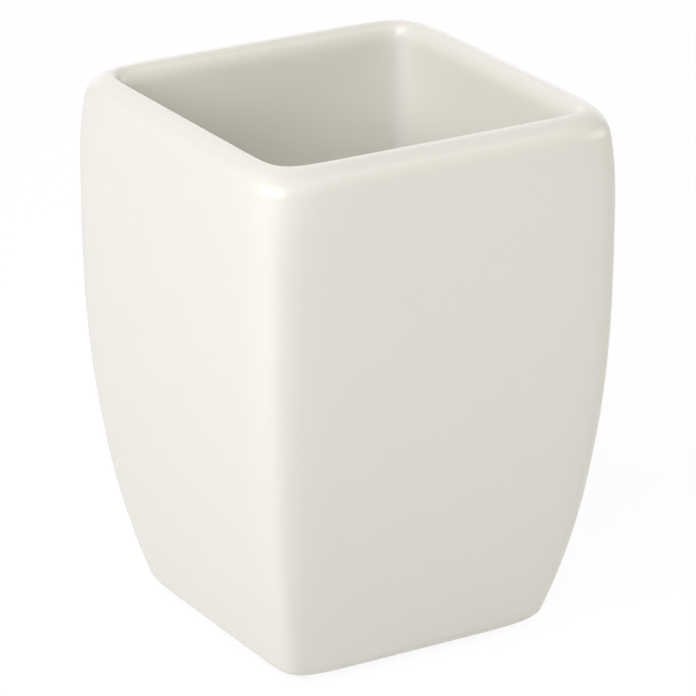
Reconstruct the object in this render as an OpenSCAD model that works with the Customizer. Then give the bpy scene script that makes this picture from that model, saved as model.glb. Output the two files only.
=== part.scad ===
// Square bathroom tumbler: a glazed ceramic cup that stands on four non-slip pads.
// Millimetres, +Z up, front towards -Y. The origin is on the table, under the middle of the cup.

/* [Cup] */
// Height of the ceramic, from its foot to its rim
cup_h = 106; // [85:1:130]
// Width across the flats in the upright stretch below the rim
rim_w = 78.2; // [72:0.2:90]
// Width across the flats at the foot, before its edge is rounded
foot_w = 56.8; // [50:0.2:68]
// Height of the upright stretch
upright_h = 22; // [5:1:40]
// Power of the curve below it: a higher one keeps the sides upright for longer
side_power = 2.7; // [2:0.1:3.5]

/* [Corners] */
// Corner radius of the outside at the rim, seen from above
rim_corner_r = 13; // [8:0.5:20]
// Height of the stretch below the rim where the corners open out to that radius
rim_corner_h = 22; // [10:1:40]
// Corner radius of the outside between the rim's stretch and the foot's
side_corner_r = 7; // [5:0.5:8]
// Corner radius of the outside just above the foot's rounded edge
foot_corner_r = 4.5; // [3:0.5:7]
// Height of the stretch above the foot where the corners open out from that radius
foot_corner_h = 36; // [15:1:60]
// Corner radius of the flat that the foot stands on
base_corner_r = 10; // [7:0.5:14]
// Corner radius of the inside wall
bore_corner_r = 4; // [2:0.5:6]
// Corner radius of the flat part of the inside floor
floor_corner_r = 8; // [4:0.5:12]

/* [Wall] */
// Thickness of the wall
wall_t = 6.9; // [5.5:0.1:8.5]
// Radius of the lip's outer rounding
lip_r = 4.5; // [2:0.1:5]
// Height of the lip's inner rounding, which is as wide as the rest of the wall
lip_inner_h = 5; // [2:0.5:8]
// Thickness of the floor
floor_t = 6.5; // [4:0.5:12]
// Radius between the inside wall and the floor
floor_fillet_r = 9; // [4:0.5:12]
// Radius of the foot's outer edge
foot_edge_r = 3; // [1:0.5:5]

/* [Underside] */
// Width of the flat ring that surrounds the underside's recess
foot_ring_w = 3.2; // [2:0.2:5]
// Depth of the recess
recess_d = 1.6; // [1.2:0.1:2.5]
// Radius of the recess's upper and lower edges
recess_edge_r = 0.5; // [0.2:0.1:0.6]

/* [Pads] */
// Radius of a pad
pad_r = 5; // [3:0.5:7]
// Height by which the pads stand out below the foot ring
pad_proud = 0.8; // [0.3:0.1:1.5]
// Radius of a pad's lower edge
pad_edge_r = 0.6; // [0.2:0.1:1]
// Gap between a pad and the recess's wall
pad_gap = 2.5; // [1:0.5:5]

/* [Hidden] */

// Points around a ring, a multiple of eight, and how much closer they lie towards the corners
ring_points = 48;
crowding_power = 1.7;
// Power of the curve by which the corners open out to the rim
rim_corner_power = 3;
// Steps up each stretch of the cup's section
recess_steps = 2;
foot_steps = 5;
side_steps = 16;
lip_steps = 7;
bore_steps = 12;
floor_steps = 6;
$fn = 48;

// What the side's curve takes off half the width at the foot
side_draw = (rim_w - foot_w) / 2;
// Rest of the lip, between its crest and the inside wall
lip_inner_w = wall_t - lip_r;
// Recess in the underside
recess_half = foot_w / 2 - foot_edge_r - foot_ring_w;
recess_corner_r = base_corner_r - foot_ring_w;
// Height of the inside floor above the foot
floor_z = recess_d + floor_t;
// Pads, from the table to the top of the recess
pad_h = pad_proud + recess_d;
pad_place = recess_half - pad_gap - pad_r;

function blend(from, to, share) = from + (to - from) * share;

// Half the width of the outside and of the inside at height z above the foot
function side_half(z) = rim_w / 2 - side_draw * pow(max(0, 1 - z / (cup_h - upright_h)), side_power);
function bore_half(z) = side_half(z) - wall_t;

// Corner radius of the outside at height z, and further in on the lip
function side_corner(z) =
    let (
        foot_share = max(0, 1 - z / foot_corner_h),
        rim_share = max(0, 1 - (cup_h - z) / rim_corner_h)
    )
    side_corner_r
        + (foot_corner_r - side_corner_r) * foot_share
        + (rim_corner_r - side_corner_r) * pow(rim_share, rim_corner_power);
function lip_corner(z, inset) = blend(side_corner(z), bore_corner_r, inset / wall_t);

// Each function below gives one ring of the cup as [half its width, its corner radius, its height above
// the foot]. Its share runs from 0 at the start of that stretch of the cup's section to 1 at its end.

// Edge of the recess's ceiling, and the edge between the recess's wall and the foot ring
function recess_top_ring(share) = [
    recess_half - recess_edge_r * (1 - sin(90 * share)),
    recess_corner_r,
    recess_d - recess_edge_r * (1 - cos(90 * share))
];
function recess_edge_ring(share) = [
    recess_half + recess_edge_r * (1 - cos(90 * share)),
    recess_corner_r,
    recess_edge_r * (1 - sin(90 * share))
];

// Rounded outer edge of the foot
function foot_ring(share) =
    let (
        z = foot_edge_r * (1 - cos(90 * share)),
        inset_share = 1 - sin(90 * share)
    )
    [
        side_half(z) - foot_edge_r * inset_share,
        blend(side_corner(z), base_corner_r, inset_share),
        z
    ];

// Side, up to where the lip starts to round
function side_ring(share) =
    let (z = blend(foot_edge_r, cup_h - lip_r, share))
    [side_half(z), side_corner(z), z];

// Lip, up to its crest, and on down to the inside wall
function lip_outer_ring(share) =
    let (
        z = cup_h - lip_r * (1 - sin(90 * share)),
        inset = lip_r * (1 - cos(90 * share))
    )
    [side_half(z) - inset, lip_corner(z, inset), z];
function lip_inner_ring(share) =
    let (inset = lip_r + lip_inner_w * sin(90 * share))
    [
        rim_w / 2 - inset,
        lip_corner(cup_h, inset),
        cup_h - lip_inner_h * (1 - cos(90 * share))
    ];

// Inside wall, down to where it turns in to the floor
function bore_ring(share) =
    let (z = blend(cup_h - lip_inner_h, floor_z + floor_fillet_r, share))
    [bore_half(z), bore_corner_r, z];
function fillet_ring(share) =
    let (
        z = floor_z + floor_fillet_r * (1 - sin(90 * share)),
        inset_share = 1 - cos(90 * share)
    )
    [
        bore_half(z) - floor_fillet_r * inset_share,
        blend(bore_corner_r, floor_corner_r, inset_share),
        z
    ];

// Even shares from 0 to 1, and the same without the 0, for a stretch that goes on from another's last ring
function even_shares(count) = [for (k = [0 : count]) k / count];
function later_shares(count) = [for (k = [1 : count]) k / count];

// The whole section, from the recess's ceiling round the outside and over the lip to the inside floor
cup_rings = [
    for (share = even_shares(recess_steps)) recess_top_ring(share),
    for (share = even_shares(recess_steps)) recess_edge_ring(share),
    for (share = even_shares(foot_steps)) foot_ring(share),
    for (share = later_shares(side_steps)) side_ring(share),
    for (share = later_shares(lip_steps)) lip_outer_ring(share),
    for (share = later_shares(lip_steps)) lip_inner_ring(share),
    for (share = later_shares(bore_steps)) bore_ring(share),
    for (share = later_shares(floor_steps)) fillet_ring(share)
];

// Angle of point i of a ring. The points lie closer together towards the corners.
function ring_angle(i) =
    let (
        eighth = floor(8 * i / ring_points),
        share = 8 * i / ring_points - eighth
    )
    eighth % 2 == 0
        ? 45 * (eighth + 1 - pow(1 - share, crowding_power))
        : 45 * (eighth + pow(share, crowding_power));

// Power of the smooth square that reaches as far at its corners as a square with this corner radius.
function square_power(half, corner) = -ln(2) / ln(1 - (1 - sqrt(1 / 2)) * corner / half);

// Points of one smooth square.
function ring(half, corner, z) =
    let (p = square_power(half, corner))
    [
        for (i = [0 : ring_points - 1])
            let (
                a = ring_angle(i),
                reach = half / pow(pow(abs(cos(a)), p) + pow(abs(sin(a)), p), 1 / p)
            )
            [reach * cos(a), reach * sin(a), z]
    ];

// Closed solid through a list of rings, with a flat face inside the first and the last.
module loft(rings) {
    last = len(rings) - 1;
    polyhedron(
        points = [for (r = rings) each ring(r[0], r[1], r[2])],
        faces = [
            [for (i = [0 : ring_points - 1]) i],
            for (k = [0 : last - 1], i = [0 : ring_points - 1])
                let (
                    here = k * ring_points,
                    next = here + ring_points,
                    j = (i + 1) % ring_points
                )
                each [[here + i, next + i, next + j], [here + i, next + j, here + j]],
            [for (i = [ring_points - 1 : -1 : 0]) last * ring_points + i]
        ]
    );
}

module tumbler_body() {
    color("#e7e4da")
        translate([0, 0, pad_proud])
            loft(cup_rings);
}

// Pad in one corner of the recess: side_x and side_y are -1 or 1.
module pad(side_x, side_y) {
    color("#d9d8d2")
        translate([side_x * pad_place, side_y * pad_place, 0])
            rotate_extrude() {
                square([pad_r - pad_edge_r, pad_h]);
                translate([0, pad_edge_r])
                    square([pad_r, pad_h - pad_edge_r]);
                translate([pad_r - pad_edge_r, pad_edge_r])
                    circle(pad_edge_r);
            }
}

tumbler_body();
pad(-1, -1);  // pad_front_left
pad(1, -1);  // pad_front_right
pad(-1, 1);  // pad_back_left
pad(1, 1);  // pad_back_right
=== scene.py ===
"""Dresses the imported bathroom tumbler: glazed cup, pads, white studio and the photograph's view."""

import math

import bpy
from mathutils import Matrix, Vector


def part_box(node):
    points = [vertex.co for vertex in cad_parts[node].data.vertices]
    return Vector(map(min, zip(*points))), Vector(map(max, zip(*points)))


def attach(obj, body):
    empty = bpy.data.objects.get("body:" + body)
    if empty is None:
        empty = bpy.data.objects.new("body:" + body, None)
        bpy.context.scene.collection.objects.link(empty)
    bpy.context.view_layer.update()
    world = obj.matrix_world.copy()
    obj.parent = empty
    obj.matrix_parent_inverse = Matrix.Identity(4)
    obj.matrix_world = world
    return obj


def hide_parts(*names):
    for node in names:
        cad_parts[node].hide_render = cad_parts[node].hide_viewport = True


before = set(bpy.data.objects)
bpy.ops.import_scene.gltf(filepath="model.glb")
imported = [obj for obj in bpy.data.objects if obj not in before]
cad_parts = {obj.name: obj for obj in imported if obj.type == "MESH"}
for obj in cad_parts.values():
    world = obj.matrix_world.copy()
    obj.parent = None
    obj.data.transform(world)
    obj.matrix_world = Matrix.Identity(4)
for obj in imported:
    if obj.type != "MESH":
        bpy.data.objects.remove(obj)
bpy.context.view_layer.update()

MM = 0.001

# The cup's section in millimetres, with heights above the foot ring. The numbers are those of the
# part's source, but for LIP_INNER_H, which is 5 there: the photograph's lip turns in a bit sooner.
CUP_H = 106
RIM_W = 78.2
FOOT_W = 56.8
UPRIGHT_H = 22
SIDE_POWER = 2.7
RIM_CORNER_R = 13
RIM_CORNER_H = 22
RIM_CORNER_POWER = 3
SIDE_CORNER_R = 7
FOOT_CORNER_R = 4.5
FOOT_CORNER_H = 36
BASE_CORNER_R = 10
BORE_CORNER_R = 4
FLOOR_CORNER_R = 8
WALL_T = 6.9
LIP_R = 4.5
LIP_INNER_H = 4
FLOOR_T = 6.5
FLOOR_FILLET_R = 9
FOOT_EDGE_R = 3
FOOT_RING_W = 3.2
RECESS_D = 1.6
RECESS_EDGE_R = 0.5
PAD_R = 5
PAD_PROUD = 0.8
PAD_EDGE_R = 0.6
PAD_GAP = 2.5

SIDE_DRAW = (RIM_W - FOOT_W) / 2
LIP_INNER_W = WALL_T - LIP_R
RECESS_HALF = FOOT_W / 2 - FOOT_EDGE_R - FOOT_RING_W
RECESS_CORNER_R = BASE_CORNER_R - FOOT_RING_W
FLOOR_Z = RECESS_D + FLOOR_T
PAD_H = PAD_PROUD + RECESS_D
PAD_PLACE = RECESS_HALF - PAD_GAP - PAD_R

# Points around a ring, a multiple of eight, and how much closer they lie towards the corners
RING_POINTS = 192
CROWDING_POWER = 1.7
# Rings nearer than this, in millimetres, are one ring
SAME_RING = 1e-9


def blend(start, end, share):
    return start + (end - start) * share


def quarter_sin(share):
    return math.sin(share * math.pi / 2)


def quarter_cos(share):
    return math.cos(share * math.pi / 2)


def even_shares(steps):
    return [step / steps for step in range(steps + 1)]


def side_half(z):
    """Half the width of the outside at height z above the foot ring."""
    return RIM_W / 2 - SIDE_DRAW * max(0, 1 - z / (CUP_H - UPRIGHT_H)) ** SIDE_POWER


def bore_half(z):
    return side_half(z) - WALL_T


def side_corner(z):
    """Corner radius of the outside at height z: wider towards the rim and tighter at the foot."""
    foot_share = max(0, 1 - z / FOOT_CORNER_H)
    rim_share = max(0, 1 - (CUP_H - z) / RIM_CORNER_H)
    foot_part = (FOOT_CORNER_R - SIDE_CORNER_R) * foot_share
    return SIDE_CORNER_R + foot_part + (RIM_CORNER_R - SIDE_CORNER_R) * rim_share**RIM_CORNER_POWER


def lip_corner(z, inset):
    return blend(side_corner(z), BORE_CORNER_R, inset / WALL_T)


# Each function gives one ring of a stretch of the section, at a share of the way along it:
# half the ring's width, its corner radius and its height
def recess_ceiling_ring(share):
    return (RECESS_HALF - RECESS_EDGE_R) * share, RECESS_CORNER_R * share, RECESS_D


def recess_top_ring(share):
    half = RECESS_HALF - RECESS_EDGE_R * (1 - quarter_sin(share))
    return half, RECESS_CORNER_R, RECESS_D - RECESS_EDGE_R * (1 - quarter_cos(share))


def recess_edge_ring(share):
    half = RECESS_HALF + RECESS_EDGE_R * (1 - quarter_cos(share))
    return half, RECESS_CORNER_R, RECESS_EDGE_R * (1 - quarter_sin(share))


def foot_flat_ring(share):
    half, corner, z = recess_edge_ring(1)
    return blend(half, foot_ring(0)[0], share), blend(corner, BASE_CORNER_R, share), z


def foot_ring(share):
    z = FOOT_EDGE_R * (1 - quarter_cos(share))
    inset_share = 1 - quarter_sin(share)
    half = side_half(z) - FOOT_EDGE_R * inset_share
    return half, blend(side_corner(z), BASE_CORNER_R, inset_share), z


def side_ring(share):
    z = blend(FOOT_EDGE_R, CUP_H - LIP_R, share)
    return side_half(z), side_corner(z), z


def lip_outer_ring(share):
    z = CUP_H - LIP_R * (1 - quarter_sin(share))
    inset = LIP_R * (1 - quarter_cos(share))
    return side_half(z) - inset, lip_corner(z, inset), z


def lip_inner_ring(share):
    z = CUP_H - LIP_INNER_H * (1 - quarter_cos(share))
    inset = LIP_R + LIP_INNER_W * quarter_sin(share)
    return RIM_W / 2 - inset, lip_corner(CUP_H, inset), z


def bore_ring(share):
    z = blend(CUP_H - LIP_INNER_H, FLOOR_Z + FLOOR_FILLET_R, share)
    return bore_half(z), BORE_CORNER_R, z


def fillet_ring(share):
    z = FLOOR_Z + FLOOR_FILLET_R * (1 - quarter_sin(share))
    inset_share = 1 - quarter_cos(share)
    half = bore_half(z) - FLOOR_FILLET_R * inset_share
    return half, blend(BORE_CORNER_R, FLOOR_CORNER_R, inset_share), z


def floor_ring(share):
    half, corner, z = fillet_ring(1)
    return half * (1 - share), corner * (1 - share), z


# Stretches of the section in order, each with its number of steps
STRETCHES = (
    (recess_ceiling_ring, 8),
    (recess_top_ring, 6),
    (recess_edge_ring, 6),
    (foot_flat_ring, 4),
    (foot_ring, 14),
    (side_ring, 72),
    (lip_outer_ring, 18),
    (lip_inner_ring, 14),
    (bore_ring, 48),
    (fillet_ring, 20),
    (floor_ring, 8),
)


def section_rings():
    """Every ring of the cup in order. A ring that two stretches share is there once."""
    rings = []
    for ring, steps in STRETCHES:
        for share in even_shares(steps):
            here = ring(share)
            if here[0] > 0 and (not rings or math.dist(here, rings[-1]) > SAME_RING):
                rings.append(here)
    return rings


def ring_angle(i):
    """Angle of point i of a ring. The points lie closer together towards the corners."""
    eighth, share = divmod(8 * i / RING_POINTS, 1)
    if eighth % 2 == 0:
        return math.pi / 4 * (eighth + 1 - (1 - share) ** CROWDING_POWER)
    return math.pi / 4 * (eighth + share**CROWDING_POWER)


RING_DIRECTIONS = [(math.cos(a), math.sin(a)) for a in map(ring_angle, range(RING_POINTS))]


def ring_points(half, corner, z):
    """Points of a smooth square that reaches as far out at its corners as one with this radius."""
    power = -math.log(2) / math.log(1 - (1 - math.sqrt(1 / 2)) * corner / half)
    points = []
    for cos_a, sin_a in RING_DIRECTIONS:
        reach = half / (abs(cos_a) ** power + abs(sin_a) ** power) ** (1 / power)
        points.append(Vector((reach * cos_a, reach * sin_a, z + PAD_PROUD)) * MM)
    return points


def add_object(name, data):
    thing = bpy.data.objects.new(name, data)
    bpy.context.scene.collection.objects.link(thing)
    return thing


def add_piece(name, points, faces, materials):
    mesh = bpy.data.meshes.new(name)
    mesh.from_pydata(points, [], faces)
    mesh.validate()
    mesh.shade_smooth()
    for material in materials:
        mesh.materials.append(material)
    return add_object(name, mesh)


def tube(name, start, rings, end, materials):
    """A closed mesh through rings of points, with a fan at either end to the point given there."""
    count = len(rings[0])
    points = [start, *(point for ring in rings for point in ring), end]
    last = len(points) - 1
    top = last - count
    faces = []
    for i in range(count):
        j = (i + 1) % count
        faces.append((0, 1 + j, 1 + i))
        for here in range(1, top, count):
            above = here + count
            faces.append((here + i, here + j, above + j, above + i))
        faces.append((top + i, top + j, last))
    return add_piece(name, points, faces, materials)


def cup_mesh(name, rings, materials):
    start, end = (Vector((0, 0, rings[k][2] + PAD_PROUD)) * MM for k in (0, -1))
    return tube(name, start, [ring_points(*ring) for ring in rings], end, materials)


# A bend is 1 on an edge of this radius in millimetres and below 0 in a hollow, within this limit.
# In each round of smoothing, a point keeps a share of its own bend and takes one of each neighbour.
BEND_R = 5
BEND_LIMIT = 1.5
BEND_ROUNDS = 6
BEND_KEPT = 0.4
BEND_TAKEN = 0.15


def bend_along(before, here, after, normal):
    """Curvature of a line through three points, per metre: below 0 where the surface is hollow."""
    back, on = here - before, here - after
    return 2 * normal.dot(back / back.length + on / on.length) / (back.length + on.length)


def mark_bends(cup, ring_count):
    """Stores on each point of the cup how sharply its surface bends there."""
    mesh = cup.data
    points = [vertex.co for vertex in mesh.vertices]
    normals = [vertex.normal for vertex in mesh.vertices]

    # Each point but those of the first and last ring, with its neighbours along and across its ring
    inner = []
    for start in range(1 + RING_POINTS, 1 + (ring_count - 1) * RING_POINTS, RING_POINTS):
        for i in range(RING_POINTS):
            here = start + i
            along = (start + (i - 1) % RING_POINTS, start + (i + 1) % RING_POINTS)
            inner.append((here, along, (here - RING_POINTS, here + RING_POINTS)))

    bends = [0.0] * len(points)
    for here, *pairs in inner:
        lines = [(points[a], points[here], points[b]) for a, b in pairs]
        total = sum(bend_along(*line, normals[here]) for line in lines)
        bends[here] = max(-BEND_LIMIT, min(BEND_LIMIT, total * BEND_R * MM))
    for _ in range(BEND_ROUNDS):
        before = list(bends)
        for here, (a, b), (c, d) in inner:
            around = before[a] + before[b] + before[c] + before[d]
            bends[here] = BEND_KEPT * before[here] + BEND_TAKEN * around
    mesh.attributes.new("bend", "FLOAT", "POINT").data.foreach_set("value", bends)


# Pads, in millimetres: the dimple in the face, the bevel of the back edge as (inset, distance below
# the tape) of its points, and the tape, which starts from a groove and ends in a small bevel
PAD_DIMPLE_R = 1.3
PAD_DIMPLE_D = 0.12
PAD_BEVEL = ((0, 0.12), (0.03, 0.04))
TAPE_R = 4.88
TAPE_H = 0.22
TAPE_GROOVE_D = 0.06
TAPE_EDGE_R = 0.07
TAPE_BEVEL = 0.02
TAPE_Z = PAD_H - TAPE_H
PAD_SEGMENTS = 96
PAD_STEPS = 8
TAPE_STEPS = 4


def lower_edge(side_r, low, edge_r, steps):
    """Outline of a rounded lower edge, from the face below it to the side."""
    return [
        (side_r - edge_r * (1 - quarter_sin(share)), low + edge_r * (1 - quarter_cos(share)))
        for share in even_shares(steps)
    ]


def pad_outline():
    """A pad's outline from the middle of its face to the edge of its back, as (radius, height)."""
    return [
        *(
            (PAD_DIMPLE_R * share, PAD_DIMPLE_D * (1 - share**2) ** 2)
            for share in even_shares(PAD_STEPS)
        ),
        (blend(PAD_DIMPLE_R, PAD_R - PAD_EDGE_R, 0.5), 0),
        *lower_edge(PAD_R, 0, PAD_EDGE_R, PAD_STEPS),
        (PAD_R, blend(PAD_EDGE_R, TAPE_Z, 0.5)),
        *((PAD_R - inset, TAPE_Z - below) for inset, below in PAD_BEVEL),
        (TAPE_R - TAPE_GROOVE_D, TAPE_Z),
        *lower_edge(TAPE_R, TAPE_Z, TAPE_EDGE_R, TAPE_STEPS),
        (TAPE_R, PAD_H - TAPE_BEVEL),
        (TAPE_R - TAPE_BEVEL, PAD_H),
    ]


def turned_pad(name, place_x, place_y, materials):
    """A turned pad with its middle at this place. Its second material goes on the tape."""

    def at(radius, height, angle):
        x, y = place_x + radius * math.cos(angle), place_y + radius * math.sin(angle)
        return Vector((x, y, height)) * MM

    angles = [2 * math.pi * i / PAD_SEGMENTS for i in range(PAD_SEGMENTS)]
    (_, face_h), *outline = pad_outline()
    rings = [[at(radius, height, angle) for angle in angles] for radius, height in outline]
    pad = tube(name, at(0, face_h, 0), rings, at(0, PAD_H, 0), materials)
    for face in pad.data.polygons:
        face.material_index = int(face.center.z > TAPE_Z * MM)
    return pad


class Nodes:
    """The shader nodes of a new material or world, with short calls to add and join them."""

    def __init__(self, owner, output="OutputMaterial"):
        owner.use_nodes = True
        self.tree = owner.node_tree
        self.tree.nodes.clear()
        self.output = self.add(output)

    def add(self, kind, inputs=(), **settings):
        node = self.tree.nodes.new("ShaderNode" + kind)
        for name, value in settings.items():
            setattr(node, name, value)
        for name, value in dict(inputs).items():
            self.set(node, name, value)
        return node

    def set(self, node, name, value):
        socket = node.inputs[name]
        if isinstance(value, bpy.types.NodeSocket):
            self.tree.links.new(value, socket)
        else:
            socket.default_value = value

    def shader(self, kind, inputs):
        """Adds the shader that the surface or the world ends in."""
        self.set(self.output, "Surface", self.add(kind, inputs).outputs[0])

    def math(self, operation, *values):
        return self.add("Math", enumerate(values), operation=operation).outputs[0]

    def total(self, *values):
        result = values[0]
        for value in values[1:]:
            result = self.math("ADD", result, value)
        return result

    def spread(self, value, band, onto=(0.0, 1.0), smooth=False):
        """Stretches a band of the value, such as (0.3, 0.7), onto another. It holds at the ends."""
        kind = "SMOOTHSTEP" if smooth else "LINEAR"
        names = ("Value", "From Min", "From Max", "To Min", "To Max")
        inputs = zip(names, (value, *band, *onto))
        return self.add("MapRange", inputs, interpolation_type=kind).outputs[0]

    def mix(self, share, first, second):
        """Mixes two colours. The Mix node's sockets go by number, as their names aren't unique."""
        return self.add("Mix", {0: share, 6: first, 7: second}, data_type="RGBA").outputs[2]

    def noise(self, place, size, detail, roughness=0.5):
        """Noise whose features are about `size` millimetres across."""
        inputs = {
            "Vector": place,
            "Scale": 1 / (size * MM),
            "Detail": detail,
            "Roughness": roughness,
        }
        return self.add("TexNoise", inputs).outputs["Fac"]

    def relief(self, share, height):
        """Height in metres of a relief that is `height` millimetres high where the share is 1."""
        return self.math("MULTIPLY", share, height * MM)

    def bump(self, *reliefs):
        """Normal of a surface with all these reliefs."""
        inputs = {"Height": self.total(*reliefs), "Distance": 1.0, "Strength": 1.0}
        return self.add("Bump", inputs).outputs[0]


def grey(level):
    return level, level, level, 1


# In the looks below, names that end in _NOISE hold the size of a noise's features in millimetres,
# its detail, and its roughness where that isn't the usual one. Those in _BAND hold the stretch of a
# value over which one look turns into another, those in _SHARE how far it turns at most, and those
# in _H the height of a relief in millimetres.

# The glaze, warmer where it is thin and cooler where it is deep
GLAZE = (0.80, 0.775, 0.708, 1)
GLAZE_WARM = (0.806, 0.778, 0.704, 1)
GLAZE_THIN = (0.80, 0.765, 0.685, 1)
GLAZE_DEEP = (0.785, 0.772, 0.715, 1)
MOTTLE_NOISE = (28, 3)
MOTTLE_BAND = (0.35, 0.65)
EDGE_BAND = (0.3, 1.0)
HOLLOW_BAND = (-0.2, -1.0)
BEND_SHARE = 0.8
WAVES_NOISE = (16, 1)
WAVES_H = 0.05
PEEL_NOISE = (1.3, 1)
PEEL_H = 0.0015
GLOSS_NOISE = (40, 4)
GLOSS_BAND = (0.3, 0.7)
GLAZE_ROUGHNESS = (0.21, 0.27)

# The line where the glaze ends: its heights above the foot ring in millimetres, how far it wobbles
# up, and how thick the coat is there
DRY_BAND = (0.12, 0.02)
WOBBLE_NOISE = (6, 3)
WOBBLE_H = 0.7
COAT_H = 0.08

# The bare biscuit of the foot ring, rubbed paler in places and specked
BISCUIT = (0.72, 0.64, 0.53, 1)
BISCUIT_PALE = (0.79, 0.73, 0.63, 1)
SPECK = (0.26, 0.18, 0.12, 1)
BISCUIT_ROUGHNESS = 0.85
GRAIN_NOISE = (0.35, 4, 0.6)
GRAIN_H = 0.05
RUBBED_NOISE = (9, 3)
BISCUIT_BAND = (0.8, 1.2)
SPECK_NOISE = (0.7, 1)
SPECK_BAND = (0.7, 0.76)
SPECK_SHARE = 0.7


def glaze_material():
    """Off-white glaze over the cup but for its foot ring, which is bare below a wobbling line.

    The glaze is a little warmer where it runs thin over the edges, and a little cooler where it
    lies deep in the hollows.
    """
    material = bpy.data.materials.new("glazed_ceramic")
    nodes = Nodes(material)
    place = nodes.add("TexCoord").outputs["Object"]
    bend = nodes.add("Attribute", attribute_name="bend").outputs["Fac"]
    height = nodes.add("SeparateXYZ", {"Vector": place}).outputs["Z"]

    mottle = nodes.spread(nodes.noise(place, *MOTTLE_NOISE), MOTTLE_BAND)
    glaze = nodes.mix(mottle, GLAZE, GLAZE_WARM)
    for band, colour in ((EDGE_BAND, GLAZE_THIN), (HOLLOW_BAND, GLAZE_DEEP)):
        glaze = nodes.mix(nodes.spread(bend, band, (0, BEND_SHARE), smooth=True), glaze, colour)

    grain = nodes.noise(place, *GRAIN_NOISE)
    worn = nodes.math("ADD", grain, nodes.noise(place, *RUBBED_NOISE))
    biscuit = nodes.mix(nodes.spread(worn, BISCUIT_BAND), BISCUIT, BISCUIT_PALE)
    specks = nodes.spread(nodes.noise(place, *SPECK_NOISE), SPECK_BAND, (0, SPECK_SHARE))
    biscuit = nodes.mix(specks, biscuit, SPECK)

    wobble = nodes.relief(nodes.noise(place, *WOBBLE_NOISE), WOBBLE_H)
    line = nodes.math("SUBTRACT", height, wobble)
    dry = nodes.spread(line, [(PAD_PROUD + z) * MM for z in DRY_BAND], smooth=True)
    gloss = nodes.spread(nodes.noise(place, *GLOSS_NOISE), GLOSS_BAND, GLAZE_ROUGHNESS)

    nodes.shader("BsdfPrincipled", {
        "Base Color": nodes.mix(dry, glaze, biscuit),
        "Roughness": nodes.spread(dry, (0, 1), (gloss, BISCUIT_ROUGHNESS)),
        "IOR": 1.5,
        "Normal": nodes.bump(
            nodes.relief(nodes.noise(place, *WAVES_NOISE), WAVES_H),
            nodes.relief(nodes.noise(place, *PEEL_NOISE), PEEL_H),
            nodes.relief(nodes.math("MULTIPLY", grain, dry), GRAIN_H),
            nodes.relief(dry, -COAT_H),
        ),
    })
    return material


PAD_MILKY = (0.66, 0.65, 0.61, 1)
PAD_PALE = (0.72, 0.71, 0.68, 1)
PAD_ROUGHNESS = (0.38, 0.5)
CLOUDS_NOISE = (4, 3)
CLOUDS_BAND = (0.3, 0.7)
LINT = (0.42, 0.41, 0.39, 1)
LINT_NOISE = (0.45, 1)
LINT_BAND = (0.71, 0.76)
LINT_SHARE = 0.5
MOULD_NOISE = (0.3, 3)
MOULD_H = 0.012
SAG_NOISE = (3, 1)
SAG_H = 0.03


def pad_material():
    """Milky, slightly see-through polyurethane with a fine moulded grain and a little lint."""
    material = bpy.data.materials.new("milky_polyurethane")
    nodes = Nodes(material)
    place = nodes.add("TexCoord").outputs["Object"]
    clouds = nodes.noise(place, *CLOUDS_NOISE)
    colour = nodes.mix(nodes.spread(clouds, CLOUDS_BAND), PAD_MILKY, PAD_PALE)
    lint = nodes.spread(nodes.noise(place, *LINT_NOISE), LINT_BAND, (0, LINT_SHARE))
    nodes.shader("BsdfPrincipled", {
        "Base Color": nodes.mix(lint, colour, LINT),
        "Roughness": nodes.spread(clouds, CLOUDS_BAND, PAD_ROUGHNESS),
        "IOR": 1.5,
        "Subsurface Weight": 0.35,
        "Subsurface Radius": (1.0, 0.95, 0.85),
        "Subsurface Scale": 1.2 * MM,
        "Normal": nodes.bump(
            nodes.relief(nodes.noise(place, *MOULD_NOISE), MOULD_H),
            nodes.relief(nodes.noise(place, *SAG_NOISE), SAG_H),
        ),
    })
    return material


TAPE_CLEAR = (0.70, 0.68, 0.58, 1)
TAPE_DUSTY = (0.50, 0.48, 0.43, 1)
TAPE_ROUGHNESS = (0.22, 0.6)
DUST_NOISE = (0.5, 3)
DUST_BAND = (0.5, 0.7)
DUST_SHARE = 0.6
RIPPLE_NOISE = (0.8, 2)
RIPPLE_H = 0.01


def tape_material():
    """Clear adhesive at a pad's back, slightly yellow and dusty in places."""
    material = bpy.data.materials.new("clear_adhesive")
    nodes = Nodes(material)
    place = nodes.add("TexCoord").outputs["Object"]
    dust = nodes.spread(nodes.noise(place, *DUST_NOISE), DUST_BAND, (0, DUST_SHARE))
    nodes.shader("BsdfPrincipled", {
        "Base Color": nodes.mix(dust, TAPE_CLEAR, TAPE_DUSTY),
        "Roughness": nodes.spread(dust, (0, DUST_SHARE), TAPE_ROUGHNESS),
        "IOR": 1.47,
        "Normal": nodes.bump(nodes.relief(nodes.noise(place, *RIPPLE_NOISE), RIPPLE_H)),
    })
    return material


# The floor's reach in metres, the share of light that it throws back at the cup, and what the
# camera and reflections see of it: a glow, and a share of the light on it, which shows the shadow
FLOOR_REACH = 4
FLOOR_BOUNCE = 0.8
FLOOR_GLOW = 0.92
FLOOR_SHADED = 0.1
# Strength of the world's light on the cup, where the world that the camera sees has 1
WORLD_FILL = 0.27


def seen_plainly(nodes):
    """1 for the rays that see the surroundings: the camera's, and reflected and passed ones."""
    path = nodes.add("LightPath").outputs
    seen = nodes.math("MAXIMUM", path["Is Camera Ray"], path["Is Glossy Ray"])
    return nodes.math("MAXIMUM", seen, path["Is Transmission Ray"])


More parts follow.
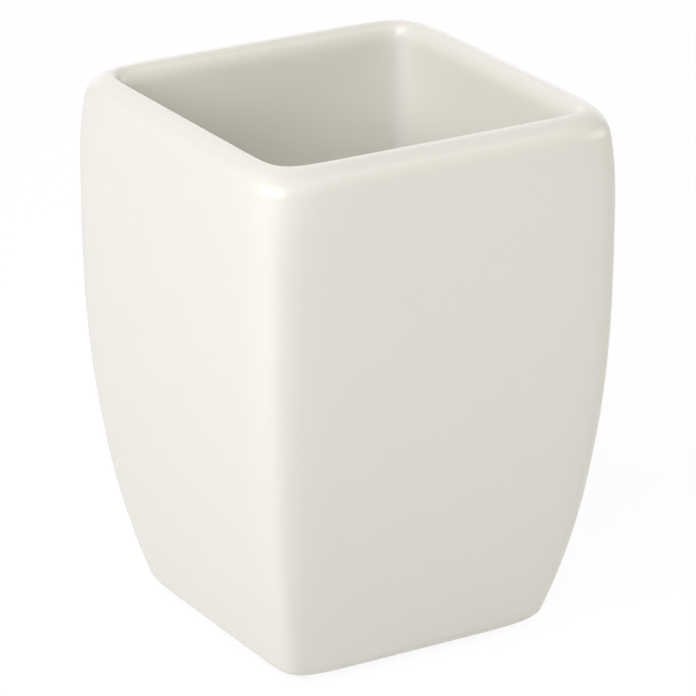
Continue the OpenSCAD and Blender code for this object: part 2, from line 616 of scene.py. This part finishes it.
def floor_material():
    """Pale floor that lights the cup from below and is seen as white with a faint shadow."""
    material = bpy.data.materials.new("floor")
    nodes = Nodes(material)
    bounce = nodes.add("BsdfDiffuse", {"Color": grey(FLOOR_BOUNCE)})
    shaded = nodes.add("BsdfDiffuse", {"Color": grey(FLOOR_SHADED)})
    glow = nodes.add("Emission", {"Color": grey(1), "Strength": FLOOR_GLOW})
    white = nodes.add("AddShader", {0: shaded.outputs[0], 1: glow.outputs[0]})
    nodes.shader("MixShader", {0: seen_plainly(nodes), 1: bounce.outputs[0], 2: white.outputs[0]})
    return material


def build_floor():
    signs = ((-1, -1), (1, -1), (1, 1), (-1, 1))
    corners = [(x * FLOOR_REACH, y * FLOOR_REACH, 0) for x, y in signs]
    add_piece("floor", corners, [(0, 1, 2, 3)], [floor_material()])


def build_world():
    """White to the camera and to reflections, and a weaker fill light on everything else."""
    world = bpy.data.worlds.new("studio")
    nodes = Nodes(world, "OutputWorld")
    strength = nodes.spread(seen_plainly(nodes), (0, 1), (WORLD_FILL, 1))
    nodes.shader("Background", {"Color": grey(1), "Strength": strength})
    bpy.context.scene.world = world


# The photograph's view: where the camera stands as seen from the cup's middle, in degrees and
# metres, its lens and sensor in millimetres, and how far beside the middle it aims, in metres
CAMERA_AZIMUTH = -30.82
CAMERA_ELEVATION = 21.271
CAMERA_DISTANCE = 0.8679
CAMERA_LENS = 232.41
CAMERA_SENSOR = 36
CAMERA_CLIP = 0.01
CAMERA_ROLL = 0.091
AIM_RIGHT = 0.00075
AIM_UP = 0.00068

# Softboxes 1 m from the cup's middle: name, azimuth and elevation in degrees, width and height in
# metres, radiance (white is 1) and colour
SOFTBOXES = (
    ("key", -66, 32, 1.3, 0.6, 4.0, (0.967, 0.967, 1)),
    ("right_fill", 66.6, 11.5, 0.6, 0.42, 2.4, (1, 1, 0.86)),
    ("back_fill", 149, 23, 1.41, 0.85, 0.6, (1, 1, 1)),
    ("front_top", 30, 46, 0.8, 0.3, 1.25, (1, 1, 1)),
    ("back_top", 165, 60, 0.6, 0.5, 0.9, (1, 1, 1)),
)


def direction(azimuth, elevation):
    """Unit vector from the cup to something at this azimuth, counted from the front towards +X."""
    a, e = math.radians(azimuth), math.radians(elevation)
    return Vector((math.sin(a) * math.cos(e), -math.cos(a) * math.cos(e), math.sin(e)))


def sight_axes(back):
    """The right, up and back of a level camera or lamp with this direction at its back."""
    right = Vector((0, 0, 1)).cross(back).normalized()
    return right, back.cross(right), back


def facing(place, target, roll=0.0):
    """Matrix of a camera or lamp at a place that looks at the target."""
    turn = Matrix(sight_axes((place - target).normalized())).transposed()
    return Matrix.Translation(place) @ (turn @ Matrix.Rotation(math.radians(roll), 3, "Z")).to_4x4()


def build_camera(middle):
    right, up, back = sight_axes(direction(CAMERA_AZIMUTH, CAMERA_ELEVATION))
    aim = middle + right * AIM_RIGHT + up * AIM_UP
    data = bpy.data.cameras.new("camera")
    data.lens = CAMERA_LENS
    data.sensor_width = CAMERA_SENSOR
    data.clip_start = CAMERA_CLIP
    camera = add_object("camera", data)
    camera.matrix_world = facing(middle + back * CAMERA_DISTANCE, aim, CAMERA_ROLL)
    bpy.context.scene.camera = camera


def build_lamps(middle):
    for name, azimuth, elevation, width, height, radiance, colour in SOFTBOXES:
        data = bpy.data.lights.new(name, "AREA")
        data.shape = "RECTANGLE"
        data.size = width
        data.size_y = height
        data.energy = math.pi * width * height * radiance
        data.color = colour
        lamp = add_object(name, data)
        lamp.matrix_world = facing(middle + direction(azimuth, elevation), middle)
        lamp.visible_camera = False


def main():
    low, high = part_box("tumbler_body")
    middle = (low + high) / 2
    build_camera(middle)

    rings = section_rings()
    cup = cup_mesh("cup", rings, [glaze_material()])
    mark_bends(cup, len(rings))
    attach(cup, "root")
    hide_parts("tumbler_body")

    pad_looks = [pad_material(), tape_material()]
    for row, side_y in (("front", -1), ("back", 1)):
        for column, side_x in (("left", -1), ("right", 1)):
            where = row + "_" + column
            pad = turned_pad("foot_pad_" + where, side_x * PAD_PLACE, side_y * PAD_PLACE, pad_looks)
            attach(pad, "root")
            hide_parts("pad_" + where)

    build_floor()
    build_lamps(middle)
    build_world()
    bpy.context.scene.view_settings.view_transform = "Standard"


main()
